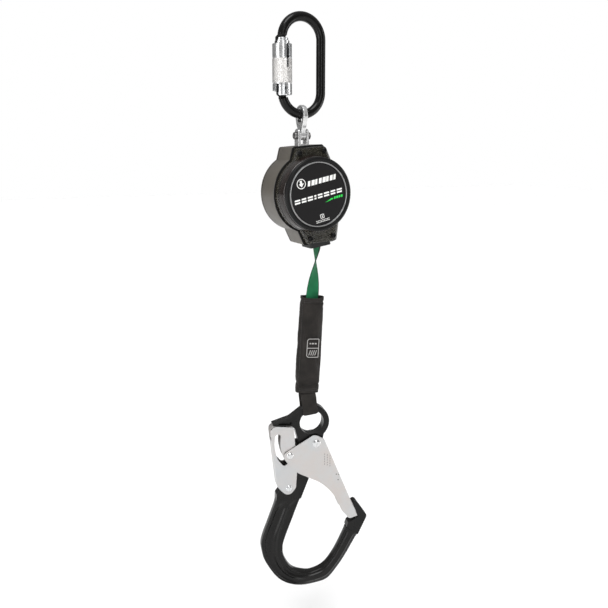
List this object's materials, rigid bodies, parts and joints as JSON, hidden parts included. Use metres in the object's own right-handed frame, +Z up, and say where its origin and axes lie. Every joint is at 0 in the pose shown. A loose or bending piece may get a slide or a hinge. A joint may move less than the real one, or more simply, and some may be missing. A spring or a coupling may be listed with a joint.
{
  "type": "self retracting lifeline",
  "caption": "Compact webbing fall-arrest reel with a twist-lock carabiner on top, and a webbing lifeline with an energy absorber and a wide scaffold hook below.",
  "frame": {"origin": "inside top of the carabiner's bow, where the anchorage bears", "axes": "+Z up, the reel's label faces -Y, the carabiner's gate is on the -X side"},
  "size_m": [0.1339, 0.0579, 0.6808],
  "materials": {
    "black_gloss": "gloss black coating",
    "black_satin": "satin black coating on a forging",
    "black_plastic": "moulded, matt",
    "black_fabric": "woven polyester",
    "rubber": "matt",
    "zinc": "bright zinc plating",
    "steel": "bare machined steel",
    "chrome": "polished",
    "aluminium": "satin",
    "bronze": "dark bronze",
    "smoke_rear": "translucent smoke grey moulding",
    "smoke_front": "translucent dark smoke moulding",
    "label": "printed film",
    "green_web": "woven webbing"
  },
  "bodies": {
    "carabiner": {"carabiner_body": "black_gloss", "carabiner_gate_pin": "steel"},
    "carabiner_gate": {"carabiner_gate": "zinc", "sleeve_spring": "steel"},
    "carabiner_sleeve": {"carabiner_sleeve": "zinc"},
    "anchor_eye": {"anchor_eye": "zinc"},
    "yoke": {"yoke": "zinc", "yoke_bolt": "bronze", "yoke_nut": "bronze"},
    "housing": {"rear_shell": "smoke_rear", "rear_cover": "smoke_front", "front_shell": "smoke_front", "front_bezel": "black_gloss", "label_ring": "aluminium", "label_disc": "label", "shell_gasket": "rubber", "housing_screw_1": "black_gloss", "housing_screw_2": "black_gloss", "housing_screw_3": "black_gloss", "housing_screw_4": "black_gloss", "webbing_nozzle": "smoke_rear", "frame_plate_front": "steel", "frame_plate_rear": "steel", "yoke_pin": "steel", "frame_spacer_1": "steel", "frame_spacer_2": "steel", "frame_spacer_3": "steel", "guide_bar_left": "steel", "guide_bar_right": "steel", "shaft_bushing_front": "bronze", "shaft_bushing_rear": "bronze", "power_spring": "steel", "spring_case": "black_plastic", "ratchet_ring": "steel", "webbing_lead": "green_web"},
    "drum": {"webbing_drum": "aluminium", "wound_webbing": "green_web", "main_shaft": "steel", "pawl_carrier": "steel", "pawl_spring_1": "steel", "pawl_spring_2": "steel"},
    "pawl_1": {"pawl_1": "steel"},
    "pawl_2": {"pawl_2": "steel"},
    "lifeline": {"lifeline_webbing": "green_web", "absorber_cover": "black_fabric", "absorber_core": "black_fabric", "pictogram_patch": "label"},
    "web_loop": {"web_loop": "black_fabric"},
    "hook": {"hook_body": "black_satin", "gate_pivot_rivet": "chrome", "lever_rivet": "chrome", "lever_spring": "steel"},
    "hook_gate": {"hook_gate": "zinc", "gate_lock_rivet": "chrome", "gate_spring": "steel"},
    "lock_lever": {"lock_lever": "zinc"}
  },
  "joints": [
    {"name": "carabiner_gate_hinge", "type": "hinge", "parent": "carabiner", "child": "carabiner_gate", "pos_m": [-0.0232, 0, -0.074], "axis": [0, 1, 0], "range_deg": [0, 24], "stiffness_Nm_per_rad": 0.03, "springref_deg": -20.05},
    {"name": "carabiner_sleeve_turn", "type": "hinge", "parent": "carabiner_gate", "child": "carabiner_sleeve", "pos_m": [-0.0232, 0, -0.05], "axis": [0, 0, 1], "range_deg": [0, 90], "stiffness_Nm_per_rad": 0.005, "springref_deg": -28.65},
    {"name": "anchor_swing", "type": "hinge", "parent": "carabiner", "child": "anchor_eye", "pos_m": [0, 0, -0.095], "axis": [1, 0, 0], "range_deg": [-45, 45]},
    {"name": "yoke_swing", "type": "hinge", "parent": "anchor_eye", "child": "yoke", "pos_m": [0, 0, -0.1177], "axis": [1, 0, 0], "range_deg": [-45, 45]},
    {"name": "housing_roll", "type": "hinge", "parent": "yoke", "child": "housing", "pos_m": [0, 0, -0.1344], "axis": [0, 1, 0], "range_deg": [-6.7, 23.3]},
    {"name": "webbing_payout", "type": "slide", "parent": "housing", "child": "lifeline", "axis": [0, 0, -1], "range_m": [-0.0377, 1.79685], "stiffness_N_per_m": 4, "springref_m": -2.44, "deforming": ["lifeline_webbing"]},
    {"name": "drum_turn", "type": "hinge", "parent": "housing", "child": "drum", "pos_m": [0.00664, 0, -0.17992], "axis": [0, 1, 0], "range_deg": [-91, 4291]},
    {"name": "pawl_1_swing", "type": "hinge", "parent": "drum", "child": "pawl_1", "pos_m": [0.02049, 0, -0.1779], "axis": [0, -1, 0], "range_deg": [0, 20], "stiffness_Nm_per_rad": 0.0005, "springref_deg": -17.19},
    {"name": "pawl_2_swing", "type": "hinge", "parent": "drum", "child": "pawl_2", "pos_m": [-0.00721, 0, -0.18194], "axis": [0, -1, 0], "range_deg": [0, 20], "stiffness_Nm_per_rad": 0.0005, "springref_deg": -17.19},
    {"name": "web_loop_swing", "type": "hinge", "parent": "lifeline", "child": "web_loop", "pos_m": [0.0064, 0, -0.4118], "axis": [0.9703, -0.2419, 0], "range_deg": [-15, 15]},
    {"name": "hook_swing", "type": "hinge", "parent": "web_loop", "child": "hook", "pos_m": [0.0103, -0.001, -0.449], "axis": [0.2419, 0.9703, 0], "range_deg": [-30, 30]},
    {"name": "hook_gate_hinge", "type": "hinge", "parent": "hook", "child": "hook_gate", "pos_m": [0.01593, -0.0024, -0.4771], "axis": [0.2419, 0.9703, 0], "range_deg": [0, 38], "stiffness_Nm_per_rad": 0.08, "springref_deg": -28.65},
    {"name": "lock_lever_hinge", "type": "hinge", "parent": "hook", "child": "lock_lever", "pos_m": [-0.01667, 0.00573, -0.5329], "axis": [0.2419, 0.9703, 0], "range_deg": [0, 11.9]}
  ],
  "couplings": [
    {"joint": "drum_turn", "follows": "webbing_payout", "rad_per_m": 41.67},
    {"joint": "lock_lever_hinge", "follows": "hook_gate_hinge", "ratio": 0.311}
  ]
}
